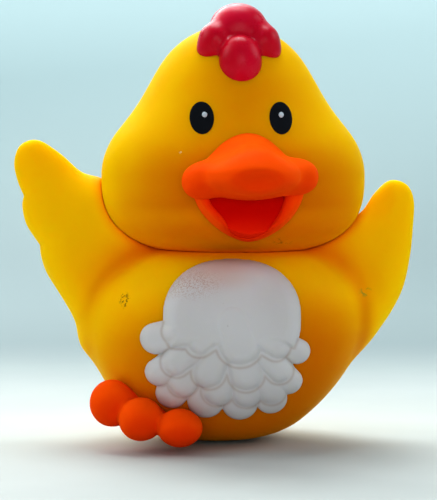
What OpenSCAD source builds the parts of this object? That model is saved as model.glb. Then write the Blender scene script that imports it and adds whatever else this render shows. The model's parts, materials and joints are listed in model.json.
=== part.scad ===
// Soft vinyl chick: a hollow squeeze toy with a turning head and a squeaker in its base.
// The origin is the centre of the flat base, +Z is up and the face looks along -Y.
// The tail reaches as far back as the bill reaches forward.
// The chick's own right is at -X.

/* [Torso] */
// Height of the torso from its base to the top of its shoulders
torso_h = 31; // [28:0.1:38]
// Depth of the seat between the shoulders that the head sits in
seat_depth = 2.3; // [1.5:0.1:3.5]
// Width of the torso at its fullest, without the wings
torso_w = 42; // [36:0.5:52]
// Depth of the torso at its fullest, without the tail
torso_d = 38; // [33:0.5:48]
// Diameter of the flat that the toy stands on
base_d = 19; // [16:0.5:24]
// Sideways lean of the neck over the base
neck_lean = 2.5; // [0:0.5:4]
// Length of the tail behind the torso's widest part
tail_l = 10; // [3:0.5:12]

/* [Wings] */
// Reach of each wing tip from the middle of the torso
wing_reach = 31; // [28:0.5:38]
// Height of the right wing's tip, the raised one
right_tip_z = 45.6; // [40:0.2:50]
// Height of the left wing's tip
left_tip_z = 39.6; // [36:0.2:46]
// Thickness of a wing at its tip
wing_tip_t = 5; // [4.4:0.1:7]

/* [Head] */
// Height of the head from the neck to the crown
head_h = 34.2; // [30:0.1:42]
// Width of the head across the cheeks
head_w = 40; // [34:0.5:48]
// Depth of the head from face to nape
head_d = 35; // [30:0.5:42]
// Turn of the head at rest, towards the chick's left
head_rest_turn = 5; // [-8:0.2:8]
// Distance between the eyes
eye_spacing = 11.6; // [9:0.2:14]
// Width of an eye
eye_w = 3.7; // [3:0.1:5]
// Height of an eye
eye_h = 4.7; // [3.6:0.1:6]
// Width of the bill across its corners
bill_w = 19; // [15:0.5:23]
// Reach of the bill in front of the face
bill_l = 12; // [9:0.5:16]
// Drop of the lower jaw below the bill's edge
jaw_drop = 7; // [5:0.2:9]
// Radius of the comb's front lobe
comb_lobe_r = 3.6; // [3:0.1:4.4]

/* [Walls and fits] */
// Wall of the vinyl castings
wall = 2; // [1.4:0.1:2.4]
// Thickness of the raised belly feathers
relief_t = 1.2; // [0.8:0.1:1.8]
// Gap between the turning head and everything it passes
head_gap = 0.3; // [0.2:0.05:0.6]
// Radial clearance of the neck in its ring
neck_fit = 0.08; // [0.04:0.01:0.1]
// Clearance round the ring in the torso's neck rim
ring_fit = 0.1; // [0.05:0.01:0.2]
// Seam between a coloured piece and the skin under it
seam = 0.02; // [0.01:0.01:0.05]

/* [Neck] */
// Outer diameter of the head's neck
neck_d = 12.8; // [10:0.2:14]
// Wall of the ring between the neck and the torso's rim
ring_wall = 1.9; // [1.4:0.1:2.4]
// Thickness of each of the ring's flanges
ring_flange_t = 0.8; // [0.6:0.1:1.2]
// Thickness of the torso's rim inside the ring
rim_t = 2.2; // [1.8:0.1:3]
// Height of the bead that snaps under the ring
bead_h = 1; // [0.8:0.1:1.6]
// How far the bead and the flanges stand out
snap = 1; // [0.8:0.1:1.4]

/* [Feet] */
// Radius of a toe
toe_r = 3.2; // [2.8:0.1:4]
// Height of the front foot's middle toe above the ground
front_foot_lift = 1.6; // [0.4:0.2:2.4]
// Depth of the flat soles under the rear foot's toes
sole_cut = 0.3; // [0.1:0.1:0.8]
// Distance of the front foot's toes from the base's centre
foot_reach = 19.5; // [17:0.5:23]

/* [Squeaker] */
// Outer diameter of the squeaker's barrel
squeaker_d = 11; // [9:0.5:13]
// Height of the barrel
squeaker_h = 7.4; // [6.5:0.2:10]
// Wall of the barrel
squeaker_wall = 0.8; // [0.6:0.1:1.2]
// Depth that the barrel is sunk into the base
squeaker_inset = 0.6; // [0.4:0.1:1]
// Diameter of the vent holes in the cap
vent_d = 1; // [0.8:0.1:1.2]
// Outer diameter of the reed trough
trough_d = 3.2; // [2.8:0.2:4]
// Thickness of the reed
reed_t = 0.15; // [0.1:0.05:0.2]
// Play of the reed under its clip
reed_play = 0.06; // [0.04:0.01:0.1]

/* [Hidden] */

$fn = 48;
ring_points = 32;
loft_steps = 24;
blend_fn = 24;
over = 1;

VINYL_YELLOW = "#f2b20a";
VINYL_ORANGE = "#ee5a16";
COMB_RED = "#c41a3c";
MOUTH_RED = "#a01008";
EYE_BLACK = "#141316";
PAINT_WHITE = "#d8d2cc";
RING_WHITE = "#e9e6dc";
SQUEAKER_WHITE = "#e4e4de";

// Girth of the torso: rows of [share of the height, share of the width and depth]
torso_form = [[0, base_d / torso_w], [0.02, 0.03 + base_d / torso_w], [0.18, 0.72],
              [0.36, 0.92], [0.55, 1], [0.73, 0.95], [0.86, 0.83], [0.945, 0.66], [0.99, 0.45],
              [1, 0.28]];

// Pear shape of the head: rows of [share of the height, share of the width, share of the depth]
head_form = [[0, 0.24, 0.27], [0.018, 0.56, 0.62], [0.095, 0.83, 0.86], [0.215, 0.95, 0.955],
             [0.34, 1, 1], [0.457, 0.965, 0.98], [0.575, 0.84, 0.89], [0.677, 0.7, 0.8],
             [0.795, 0.6, 0.7], [0.889, 0.475, 0.56], [0.956, 0.32, 0.38], [1, 0.05, 0.06]];

// The wings and the tail
wing_flat = 0.6;
wing_sweep = 3;
wing_drop = 15;
wing_root_r = 7;
wing_edge_r = 5;
tail_root_r = 6.5;
tail_tip_r = 3;

// The neck, from the inside outwards and from the rim upwards
neck_x = neck_lean;
neck_r = neck_d / 2;
ring_bore_r = neck_r + neck_fit;
ring_r = ring_bore_r + ring_wall;
flange_r = ring_r + snap;
rim_r = ring_r + ring_fit;
rim_top_z = torso_h - seat_depth - ring_flange_t - ring_fit;
rim_low_z = rim_top_z - rim_t;
ring_top_z = rim_top_z + ring_fit + ring_flange_t;
ring_low_z = rim_low_z - ring_fit - ring_flange_t;
head_z = ring_top_z + head_gap;
bead_z = ring_low_z - head_gap - bead_h;
neck_bore_r = neck_r - wall;

// Places on the head, from its own base and middle
eye_up = 0.58 * head_h;
bill_up = 0.31 * head_h;
bill_ridge_up = 0.45 * head_h;
face_y = -head_d / 2;
comb_up = 0.88 * head_h;
heel_share = 0.8;
eye_t = 0.35;
glint_t = 0.15;
eye_reach = 2.8;
jaw_wall = 0.7;
mouth_step = 0.5;

// The squeaker, from the base upwards
barrel_r = squeaker_d / 2;
barrel_bore_r = barrel_r - squeaker_wall;
barrel_top_z = squeaker_inset + squeaker_h;
cap_t = squeaker_wall;
trough_r = trough_d / 2;
trough_bore_r = trough_r - squeaker_wall * 0.75;
trough_low_z = squeaker_inset + cap_t + 1;
reed_w = trough_d * 0.75;
reed_y = -0.3;
reed_gap = 0.08;
reed_low_z = trough_low_z + 0.4;
reed_top_z = barrel_top_z - squeaker_wall - 0.4;
clip_h = 1;
clip_z = reed_top_z - clip_h - 0.2;

// Smooth curve through rows, at u from 0 to 1 along them
function slope(rows, i) =
    (rows[min(i + 1, len(rows) - 1)] - rows[max(i - 1, 0)]) / (min(i + 1, len(rows) - 1) - max(i - 1, 0));
function row_at(rows, u) =
    let (s = u * (len(rows) - 1), i = min(floor(s), len(rows) - 2), t = s - i)
    rows[i] * (2 * t^3 - 3 * t^2 + 1) + slope(rows, i) * (t^3 - 2 * t^2 + t)
    + rows[i + 1] * (3 * t^2 - 2 * t^3) + slope(rows, i + 1) * (t^3 - t^2);

// Height after a skin of thickness `inset` is taken off both ends of a form `h` high
function sunk(z, h, inset) = h / 2 + (z - h / 2) * (1 - 2 * inset / h);

// A ring of points round the Z axis, moved sideways by `dx`
function oval(rx, ry, z, dx) =
    [for (k = [0:ring_points - 1]) let (a = 360 * k / ring_points) [dx + rx * cos(a), ry * sin(a), z]];

// Closed skin over a list of rings
module skin(rings) {
    n = ring_points;
    m = len(rings);
    polyhedron(
        points = [for (ring = rings) each ring],
        faces = concat(
            [[for (k = [0:n - 1]) k]],
            [[for (k = [n - 1:-1:0]) (m - 1) * n + k]],
            [for (j = [0:m - 2], k = [0:n - 1])
                each [[j * n + k, (j + 1) * n + k, j * n + (k + 1) % n],
                      [j * n + (k + 1) % n, (j + 1) * n + k, (j + 1) * n + (k + 1) % n]]]));
}

// The torso's bare form, with `inset` taken off it all round
module torso_form_solid(inset) {
    skin([for (j = [0:loft_steps])
        let (row = row_at(torso_form, j / loft_steps), z = sunk(row[0] * torso_h, torso_h, inset))
        oval(row[1] * torso_w / 2 - inset, row[1] * torso_d / 2 - inset, z,
             neck_lean * z / torso_h)]);
}

// The head's bare form in its own place, with `inset` taken off it all round
module head_form_solid(inset) {
    at_head()
        skin([for (j = [0:loft_steps])
            let (row = row_at(head_form, j / loft_steps), z = sunk(row[0] * head_h, head_h, inset))
            oval(max(row[1] * head_w / 2 - inset, 0.4), max(row[2] * head_d / 2 - inset, 0.4), z, 0)]);
}

// Moves its children to the neck's axis at the head's base, turned as the head rests
module at_head() {
    translate([neck_x, 0, head_z]) rotate([0, 0, head_rest_turn]) children();
}

// The space that the turning head sweeps, widened by `gap`
module head_sweep(gap) {
    translate([neck_x, 0, head_z])
        rotate_extrude()
            polygon(concat(
                [[0, -gap]],
                [for (j = [0:loft_steps / 3])
                    let (row = row_at(head_form, j / loft_steps))
                    [row[1] * head_w / 2 + gap, row[0] * head_h - gap]],
                [[head_w / 2 + gap, head_h / 3], [head_w / 2 + gap, head_h], [0, head_h]]));
}

// A wing as a flattened, rounded web from the shoulder to its tip
module wing(side, tip_z, inset) {
    tip_r = wing_tip_t / 2 / wing_flat;
    shoulder_x = torso_w / 2 - wing_root_r;
    elbow_z = tip_z - wing_drop;
    hull() {
        wing_ball([side * (wing_reach - tip_r), wing_sweep, tip_z - tip_r], tip_r - inset);
        wing_ball([side * (wing_reach - 1.85 * tip_r), 0.8 * wing_sweep, elbow_z], wing_edge_r - inset);
        wing_ball([side * shoulder_x, 0.5 * wing_sweep, elbow_z], wing_root_r - inset);
        wing_ball([side * shoulder_x, 0.2 * wing_sweep, 0.62 * torso_h], wing_root_r - inset);
    }
}

module wing_ball(place, r) {
    translate(place) scale([1, wing_flat, 1]) sphere(r = r, $fn = blend_fn);
}

// The tail, from inside the torso's back to its rounded tip
module tail(inset) {
    hull() {
        translate([0, torso_d / 2 - tail_root_r, 0.5 * torso_h]) sphere(r = tail_root_r - inset, $fn = blend_fn);
        translate([0, torso_d / 2 + tail_l - tail_tip_r, 0.78 * torso_h])
            sphere(r = tail_tip_r - inset, $fn = blend_fn);
    }
}

module torso_shell() {
    color(VINYL_YELLOW)
    difference() {
        union() {
            torso_form_solid(0);
            wing(-1, right_tip_z, 0);
            wing(1, left_tip_z, 0);
            tail(0);
        }
        difference() {
            union() {
                torso_form_solid(wall);
                wing(-1, right_tip_z, wall);
                wing(1, left_tip_z, wall);
                tail(wall);
            }
            translate([neck_x, 0, rim_low_z]) cylinder(r = flange_r + wall, h = torso_h);
            head_sweep(head_gap + wall);
        }
        head_sweep(head_gap);
        translate([neck_x, 0, 0.5 * torso_h]) cylinder(r = rim_r, h = torso_h);
        translate([neck_x, 0, rim_top_z]) cylinder(r = flange_r + 2 * ring_fit, h = torso_h);
        translate([0, 0, -over]) cylinder(r = barrel_r, h = wall + 2 * over);
    }
}

// Outline of the belly patch, seen from the front
module belly_outline() {
    patch_x = 1.8;
    patch_r = torso_w * 0.23;
    tuft_r = 2.7;
    hull() {
        translate([patch_x, 0.63 * torso_h]) circle(r = patch_r);
        translate([patch_x, 0.4 * torso_h]) circle(r = patch_r);
    }
    for (a = [-200:27.5:20])
        translate([patch_x, 0.43 * torso_h] + patch_r * [1.03 * cos(a), 0.86 * sin(a)]) circle(r = tuft_r);
}

module belly_feathers() {
    color(PAINT_WHITE)
    difference() {
        intersection() {
            torso_form_solid(-relief_t);
            rotate([90, 0, 0]) linear_extrude(torso_d) belly_outline();
        }
        torso_form_solid(-seam);
        head_sweep(head_gap);
        right_foot_form(seam);
    }
}

// Three ball toes in a fan, joined to the torso by a short heel, with `outset` added all round
module foot_form(heel, toes, outset) {
    for (t = toes) translate(t) sphere(r = toe_r + outset);
    hull() {
        translate(heel) sphere(r = toe_r * heel_share + outset, $fn = blend_fn);
        translate(toes[1]) sphere(r = toe_r * heel_share + outset, $fn = blend_fn);
    }
}

// The front foot fans out along the ground and rises towards its outer toe
module right_foot_form(outset) {
    step = 1.7 * toe_r;
    mid = [-0.56 * foot_reach, -0.78 * foot_reach, toe_r + front_foot_lift];
    foot_form([-base_d / 3, -base_d / 3, toe_r],
              [mid + step * [-0.85, 0.75, 0.25], mid, mid + step * [1, -0.3, -0.14]], outset);
}

module right_foot() {
    color(VINYL_ORANGE)
    difference() {
        right_foot_form(0);
        torso_form_solid(-seam);
    }
}

module left_foot() {
    spread = 1.5 * toe_r;
    rear = 0.72 * foot_reach;
    toe_z = toe_r - sole_cut;
    color(VINYL_ORANGE)
    difference() {
        foot_form([0, base_d / 3, toe_r],
                  [[-spread, rear - 0.4 * toe_r, toe_z], [0, rear, toe_z], [spread, rear - 0.4 * toe_r, toe_z]], 0);
        torso_form_solid(-seam);
        translate([-torso_w / 2, 0, -torso_h]) cube([torso_w, torso_d, torso_h]);
    }
}

module neck_ring() {
    color(RING_WHITE)
    translate([neck_x, 0, 0])
    difference() {
        union() {
            translate([0, 0, ring_low_z]) cylinder(r = ring_r, h = ring_top_z - ring_low_z);
            translate([0, 0, ring_low_z]) cylinder(r = flange_r, h = ring_flange_t);
            translate([0, 0, ring_top_z - ring_flange_t]) cylinder(r = flange_r, h = ring_flange_t);
        }
        translate([0, 0, ring_low_z - over])
            cylinder(r = ring_bore_r, h = ring_top_z - ring_low_z + 2 * over);
    }
}

module head_shell() {
    color(VINYL_YELLOW)
    difference() {
        union() {
            difference() {
                head_form_solid(0);
                head_form_solid(wall);
            }
            translate([neck_x, 0, bead_z]) cylinder(r = neck_r, h = head_z - bead_z + wall);
            translate([neck_x, 0, bead_z]) cylinder(r1 = neck_r, r2 = neck_r + snap, h = bead_h / 2);
            translate([neck_x, 0, bead_z + bead_h / 2]) cylinder(r = neck_r + snap, h = bead_h / 2);
        }
        translate([neck_x, 0, bead_z - over]) cylinder(r = neck_bore_r, h = head_z - bead_z + 2 * wall + over);
    }
}

// Places a piece on the head and takes the head's own skin out of it
module on_head() {
    difference() {
        at_head() children();
        head_form_solid(-seam);
    }
}

module comb() {
    side_r = comb_lobe_r * 0.8;
    crown_r = comb_lobe_r * 0.83;
    color(COMB_RED)
    on_head() {
        translate([0, -0.26 * head_d, comb_up]) sphere(r = comb_lobe_r);
        for (s = [-1, 1])
            translate([s * 0.8 * comb_lobe_r, -0.16 * head_d, comb_up + 0.55 * comb_lobe_r])
                sphere(r = side_r);
        for (s = [-1, 1])
            translate([s * 0.5 * comb_lobe_r, -0.04 * head_d, comb_up + comb_lobe_r])
                sphere(r = crown_r);
    }
}

// The broad upper bill, with `outset` added all round
module bill_form(outset) {
    edge_r = 1.6;
    tip_r = 2.4;
    ridge_r = 3;
    hull() {
        for (s = [-1, 1])
            translate([s * (bill_w / 2 - edge_r), face_y - 0.2 * bill_l, bill_up])
                sphere(r = edge_r + outset, $fn = blend_fn);
        translate([0, face_y + 1, bill_ridge_up - ridge_r]) sphere(r = ridge_r + outset, $fn = blend_fn);
        for (s = [-1, 1])
            translate([s * 0.18 * bill_w, face_y - bill_l + ridge_r, bill_up + 0.6])
                sphere(r = tip_r + outset, $fn = blend_fn);
    }
}

module upper_beak() {
    color(VINYL_ORANGE)
    on_head() bill_form(0);
}

// The open lower jaw as a tapered scoop, with `inset` taken off it
module jaw(inset) {
    tip_r = 2.2;
    hull() {
        for (s = [-1, 1])
            translate([s * (0.3 * bill_w), face_y + 0.5, bill_up - 3.2]) sphere(r = 2 - inset, $fn = blend_fn);
        translate([0, face_y - 0.5 * bill_l, bill_up - jaw_drop + 1.2]) sphere(r = tip_r - inset, $fn = blend_fn);
        translate([0, face_y + 2, bill_up - jaw_drop]) sphere(r = tip_r - inset, $fn = blend_fn);
    }
}

// What is hollowed out of the lower jaw, above the tongue line
module jaw_hollow(lift) {
    translate([0, face_y - 0.5 * bill_l, bill_up - jaw_drop + 3.4 + lift])
        rotate([24, 0, 0]) translate([-bill_w / 2, -bill_l, 0]) cube([bill_w, 2 * bill_l, jaw_drop]);
}

module lower_beak() {
    color(VINYL_ORANGE)
    on_head() difference() {
        jaw(0);
        jaw_hollow(0);
        jaw(jaw_wall);
        bill_form(seam);
    }
}

module mouth_lining() {
    color(MOUTH_RED)
    on_head() difference() {
        jaw(jaw_wall + seam);
        jaw_hollow(-mouth_step);
        bill_form(seam);
    }
}

// A column through the face at an eye, `share` of an eye across and moved by `dx` and `dz`
module eye_oval(side, share, dx, dz) {
    at_head() translate([side * eye_spacing / 2 + dx, -0.42 * head_d, eye_up + dz])
        scale([share * eye_w / 2, eye_reach, share * eye_h / 2]) sphere(r = 1, $fn = blend_fn);
}

module eye(side) {
    color(EYE_BLACK)
    difference() {
        intersection() {
            eye_oval(side, 1, 0, 0);
            head_form_solid(-eye_t);
        }
        head_form_solid(-seam);
    }
}

module right_eye() { eye(-1); }
module left_eye() { eye(1); }

module glint(side) {
    color(PAINT_WHITE)
    difference() {
        intersection() {
            eye_oval(side, 0.24, 0.1 * eye_w, 0.1 * eye_h);
            head_form_solid(-eye_t - glint_t);
        }
        head_form_solid(-eye_t - seam);
    }
}

module right_eye_glint() { glint(-1); }
module left_eye_glint() { glint(1); }

module squeaker_barrel() {
    color(SQUEAKER_WHITE)
    difference() {
        union() {
            translate([0, 0, squeaker_inset]) cylinder(r = barrel_r, h = squeaker_h);
            translate([0, 0, wall + ring_fit]) cylinder(r = barrel_r + snap, h = squeaker_wall);
        }
        translate([0, 0, squeaker_inset - over])
            cylinder(r = barrel_bore_r, h = squeaker_h - squeaker_wall + over);
        cylinder(r = trough_r, h = barrel_top_z + over);
    }
}

module squeaker_cap() {
    color(SQUEAKER_WHITE)
    translate([0, 0, squeaker_inset])
    difference() {
        cylinder(r = barrel_bore_r, h = cap_t);
        for (a = [0:72:359])
            rotate([0, 0, a]) translate([barrel_bore_r * 0.55, 0, -over]) cylinder(d = vent_d, h = cap_t + 2 * over);
    }
}

module reed_trough() {
    color(RING_WHITE)
    translate([0, 0, trough_low_z])
    difference() {
        cylinder(r = trough_r, h = barrel_top_z - trough_low_z);
        translate([0, 0, squeaker_wall]) cylinder(r = trough_bore_r, h = squeaker_h);
        translate([-trough_d, reed_y - trough_d, -over])
            cube([2 * trough_d, trough_d, barrel_top_z - squeaker_wall - trough_low_z + over]);
    }
}

module squeaker_reed() {
    color("#c9a24a")
    translate([-reed_w / 2, reed_y - reed_gap - reed_t, reed_low_z])
        cube([reed_w, reed_t, reed_top_z - reed_low_z]);
}

module reed_clip() {
    clip_t = 0.5;
    front_y = reed_y - reed_gap - reed_t - reed_play;
    color(SQUEAKER_WHITE)
    translate([0, 0, clip_z])
    difference() {
        intersection() {
            cylinder(r = trough_r + clip_t, h = clip_h);
            translate([-trough_d, front_y - clip_t, 0]) cube([2 * trough_d, 2 * trough_d, clip_h]);
        }
        translate([0, 0, -over]) intersection() {
            cylinder(r = trough_r, h = clip_h + 2 * over);
            translate([-trough_d, front_y, 0]) cube([2 * trough_d, 2 * trough_d, clip_h + 2 * over]);
        }
    }
}

torso_shell();
belly_feathers();
right_foot();
left_foot();
neck_ring();
head_shell();
comb();
upper_beak();
lower_beak();
mouth_lining();
right_eye();
left_eye();
right_eye_glint();
left_eye_glint();
squeaker_barrel();
squeaker_cap();
reed_trough();
squeaker_reed();
reed_clip();
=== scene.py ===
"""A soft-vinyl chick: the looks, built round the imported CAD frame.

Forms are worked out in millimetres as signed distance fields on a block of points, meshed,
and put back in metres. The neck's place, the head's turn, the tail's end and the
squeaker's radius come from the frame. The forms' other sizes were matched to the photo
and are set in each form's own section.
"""
import bmesh, bpy, copy, json, math
import numpy as np
import openvdb
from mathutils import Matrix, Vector


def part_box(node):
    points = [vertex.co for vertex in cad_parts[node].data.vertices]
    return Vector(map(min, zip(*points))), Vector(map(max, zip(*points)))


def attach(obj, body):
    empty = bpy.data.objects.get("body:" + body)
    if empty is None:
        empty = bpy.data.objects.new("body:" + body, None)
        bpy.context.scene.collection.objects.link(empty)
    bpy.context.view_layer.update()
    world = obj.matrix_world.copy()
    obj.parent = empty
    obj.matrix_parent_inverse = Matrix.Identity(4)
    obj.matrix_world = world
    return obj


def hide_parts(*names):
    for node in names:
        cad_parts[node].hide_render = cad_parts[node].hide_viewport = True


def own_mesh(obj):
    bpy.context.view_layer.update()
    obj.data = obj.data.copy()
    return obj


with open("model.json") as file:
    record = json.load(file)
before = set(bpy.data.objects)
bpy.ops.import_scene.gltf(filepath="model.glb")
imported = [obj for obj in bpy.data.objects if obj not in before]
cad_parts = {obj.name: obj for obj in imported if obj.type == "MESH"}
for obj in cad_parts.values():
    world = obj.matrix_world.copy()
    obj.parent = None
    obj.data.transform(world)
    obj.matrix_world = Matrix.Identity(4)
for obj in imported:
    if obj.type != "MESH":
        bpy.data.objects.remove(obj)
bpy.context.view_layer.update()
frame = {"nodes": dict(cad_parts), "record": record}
MM = 1000.0


# ---------------------------------------------------------------- the frame, in millimetres
def box_mm(node):
    low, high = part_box(node)
    return np.array(low) * MM, np.array(high) * MM


def joint(name):
    return next(j for j in frame["record"]["behaviour"]["joints"] if j["name"] == name)


TORSO_LOW, TORSO_HIGH = box_mm("torso_shell")
BARREL_RADIUS = box_mm("squeaker_barrel")[1][0]
NECK = np.array(joint("head_turn")["pos_m"]) * MM
TURN_LOW, TURN_HIGH = joint("head_turn")["range_deg"]
HEAD_TURN = -(TURN_LOW + TURN_HIGH) / 2  # the head looks a little to the chick's left
WALL = 2.0
# Spacing of the points that the forms are worked out on
PITCH = 0.36
SMALL_PITCH, COMB_PITCH, BELLY_PITCH = PITCH * 0.6, PITCH * 0.5, PITCH * 0.42


# ---------------------------------------------------------------- camera
CAMERA_AWAY, CAMERA_UP = 290.0, 39.6
CAMERA_TILT, CAMERA_SIDE = 2.1, -0.44  # degrees down, and round the upright
CAMERA_LENS = 137.2


def make_camera():
    data = bpy.data.cameras.new("camera")
    data.lens = CAMERA_LENS
    camera = bpy.data.objects.new("camera", data)
    camera.location = (NECK[0] / MM, -CAMERA_AWAY / MM, CAMERA_UP / MM)
    camera.rotation_euler = (math.radians(90 - CAMERA_TILT), 0, math.radians(-CAMERA_SIDE))
    bpy.context.collection.objects.link(camera)
    bpy.context.scene.camera = camera


make_camera()


# ---------------------------------------------------------------- fields
LEAST_SLOPE, LEAST_SHARE = 1e-3, 1e-4  # these keep the divisions and powers below clear of nought


class Block:
    """A block of points in millimetres on which a form's distance field is worked out."""

    def __init__(self, low, high, pitch):
        self.low, self.pitch = np.array(low, float), pitch
        counts = [int(math.ceil((h - l) / pitch)) + 1 for l, h in zip(low, high)]
        axes = [(l + pitch * np.arange(n)).astype(np.float32) for l, n in zip(low, counts)]
        self.x, self.y, self.z = np.meshgrid(*axes, indexing="ij", sparse=True)
        self.shape = tuple(counts)


def shifted(b, dx):
    """The same block seen from a frame moved along X."""
    out = copy.copy(b)
    out.x = b.x - dx
    return out


def steady(share, pitch):
    """Distance from a field that is 1 on the surface, below 1 inside and above it outside."""
    slopes = np.gradient(share, pitch)
    return (share - 1) / np.maximum(np.sqrt(sum(s * s for s in slopes)), LEAST_SLOPE)


def ellipsoid(b, centre, radii):
    u = [(c - m) / r for c, m, r in zip((b.x, b.y, b.z), centre, radii)]
    k0 = np.sqrt(u[0] ** 2 + u[1] ** 2 + u[2] ** 2)
    k1 = np.sqrt(sum((v / r) ** 2 for v, r in zip(u, radii)))
    return k0 * (k0 - 1) / np.maximum(k1, 1e-6)


def egg(b, centre, side, front, back, up, down, up_power, down_power, power=2.0):
    """A rounded form with its own radius forwards, backwards, up and down."""
    x, y, z = b.x - centre[0], b.y - centre[1], b.z - centre[2]
    girth = (np.abs(x / side) ** power + np.abs(y / np.where(y < 0, front, back)) ** power) ** (1 / power)
    rise = np.abs(z / np.where(z > 0, up, down))
    p = np.where(z > 0, up_power, down_power)
    share = (np.maximum(girth, LEAST_SHARE) ** p + np.maximum(rise, LEAST_SHARE) ** p) ** (1 / p)
    return steady(np.broadcast_to(share, b.shape), b.pitch)


def rounded_cone(b, start, end, r_start, r_end):
    """A rod with round ends, each with its own radius."""
    start, end = np.array(start, float), np.array(end, float)
    axis = end - start
    length2 = float(axis @ axis)
    x, y, z = b.x - start[0], b.y - start[1], b.z - start[2]
    t = np.clip((x * axis[0] + y * axis[1] + z * axis[2]) / length2, 0, 1)
    gap = np.sqrt((x - t * axis[0]) ** 2 + (y - t * axis[1]) ** 2 + (z - t * axis[2]) ** 2)
    return gap - (r_start + (r_end - r_start) * t)


def upright(b, x, y, radius, low, high):
    """An upright cylinder."""
    side = np.sqrt((b.x - x) ** 2 + (b.y - y) ** 2) - radius
    return np.maximum(side, np.maximum(low - b.z, b.z - high))


def join(a, c, k):
    """Union with a soft valley about k wide."""
    h = np.maximum(k - np.abs(a - c), 0) / k
    return np.minimum(a, c) - h * h * k / 4


def cut(a, c, k):
    """What is left of a when c is taken out, with an edge rounded over about k."""
    return -join(-a, c, k)


def smooth_curve(points, steps=10):
    """Points along a closed Catmull-Rom curve through the given ones."""
    pts = np.array(points, float)
    out = []
    for i in range(len(pts)):
        p0, p1, p2, p3 = (pts[(i + k) % len(pts)] for k in (-1, 0, 1, 2))
        for t in np.linspace(0, 1, steps, endpoint=False):
            out.append(0.5 * (2 * p1 + (p2 - p0) * t + (2 * p0 - 5 * p1 + 4 * p2 - p3) * t * t
                              + (3 * p1 - p0 - 3 * p2 + p3) * t ** 3))
    return np.array(out)


def outline_distance(b, points):
    """Signed distance to a smooth closed outline seen from the front, negative inside."""
    return plane_distance(b.x[:, 0, :], b.z[0, 0, :][None, :], smooth_curve(points))[:, None, :]


def plane_distance(x, z, outline):
    x, z = np.broadcast_arrays(x, z)
    px, pz = x.ravel()[:, None], z.ravel()[:, None]
    a, c = outline, np.roll(outline, -1, axis=0)
    ex, ez = (c - a).T
    wx, wz = px - a[:, 0], pz - a[:, 1]
    t = np.clip((wx * ex + wz * ez) / (ex * ex + ez * ez), 0, 1)
    away = np.sqrt(((wx - t * ex) ** 2 + (wz - t * ez) ** 2).min(axis=1))
    edge_x = ex * (pz - a[:, 1]) / np.where(ez == 0, 1e-9, ez) + a[:, 0]
    crosses = ((a[:, 1] > pz) != (c[:, 1] > pz)) & (px < edge_x)
    inside = crosses.sum(axis=1) % 2 == 1
    return np.where(inside, -away, away).reshape(x.shape).astype(np.float32)


def soft_step(t):
    """From 0 to 1, level at both ends."""
    t = np.clip(t, 0, 1)
    return t * t * (3 - 2 * t)


# ---------------------------------------------------------------- meshes
OUTSIDE = 3.0  # what the grid holds where no value was given
FLATTEST = 0.05  # smallest squared slope that a point is moved along


def sample(field, block, points):
    """The field's value at points in millimetres."""
    g = (points - block.low) / block.pitch
    g = np.clip(g, 0, np.array(block.shape) - 1.001)
    i = g.astype(int)
    f = g - i
    value = 0
    for dx in (0, 1):
        for dy in (0, 1):
            for dz in (0, 1):
                weight = ((f[:, 0] if dx else 1 - f[:, 0]) * (f[:, 1] if dy else 1 - f[:, 1])
                          * (f[:, 2] if dz else 1 - f[:, 2]))
                value = value + weight * field[i[:, 0] + dx, i[:, 1] + dy, i[:, 2] + dz]
    return value


def settle(points, field, block, rounds=2):
    """Moves points onto the field's surface."""
    step = block.pitch * 0.5
    for _ in range(rounds):
        slope = np.stack([(sample(field, block, points + d) - sample(field, block, points - d)) / (2 * step)
                          for d in np.eye(3) * step], axis=1)
        size2 = np.maximum((slope ** 2).sum(axis=1), FLATTEST)
        move = -(sample(field, block, points) / size2)[:, None] * slope
        points = points + np.clip(move, -block.pitch, block.pitch)
    return points


def field_mesh(field, block):
    """The surface where the field is 0, as points and faces."""
    grid = openvdb.FloatGrid(OUTSIDE)
    grid.copyFromArray(np.ascontiguousarray(field, dtype=np.float32))
    points, triangles, quads = grid.convertToPolygons(isovalue=0.0, adaptivity=0.0)
    points = block.low + np.array(points, float) * block.pitch
    return settle(points, field, block), [tuple(f) for f in triangles] + [tuple(f) for f in quads]


def turned(points):
    """Points of the straight head, turned and moved onto the neck."""
    a = math.radians(HEAD_TURN)
    x, y, z = points.T
    return np.stack([x * math.cos(a) - y * math.sin(a) + NECK[0],
                     x * math.sin(a) + y * math.cos(a) + NECK[1], z], axis=1)


def make_piece(name, points, faces, material):
    mesh = bpy.data.meshes.new(name)
    mesh.from_pydata((np.asarray(points) / MM).tolist(), [], faces)
    mesh.validate()
    mesh.update()
    mesh.shade_smooth()
    piece = bpy.data.objects.new(name, mesh)
    bpy.context.collection.objects.link(piece)
    face_outwards(mesh)
    mesh.materials.append(material)
    return piece


def note(piece, name, values):
    """Keeps a value for each point, which the material reads."""
    attribute = piece.data.attributes.new(name, "FLOAT", "POINT")
    attribute.data.foreach_set("value", np.asarray(values, np.float32))


def face_outwards(mesh):
    work = bmesh.new()
    work.from_mesh(mesh)
    bmesh.ops.recalc_face_normals(work, faces=work.faces)
    work.to_mesh(mesh)
    work.free()
    mesh.shade_smooth()


# ---------------------------------------------------------------- materials
FRONT_AND_DOWN = (0.15, -0.8, -0.58)
SCATTER = (1.0, 0.6, 0.12)  # how far red, green and blue light travel in the vinyl, as shares


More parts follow.
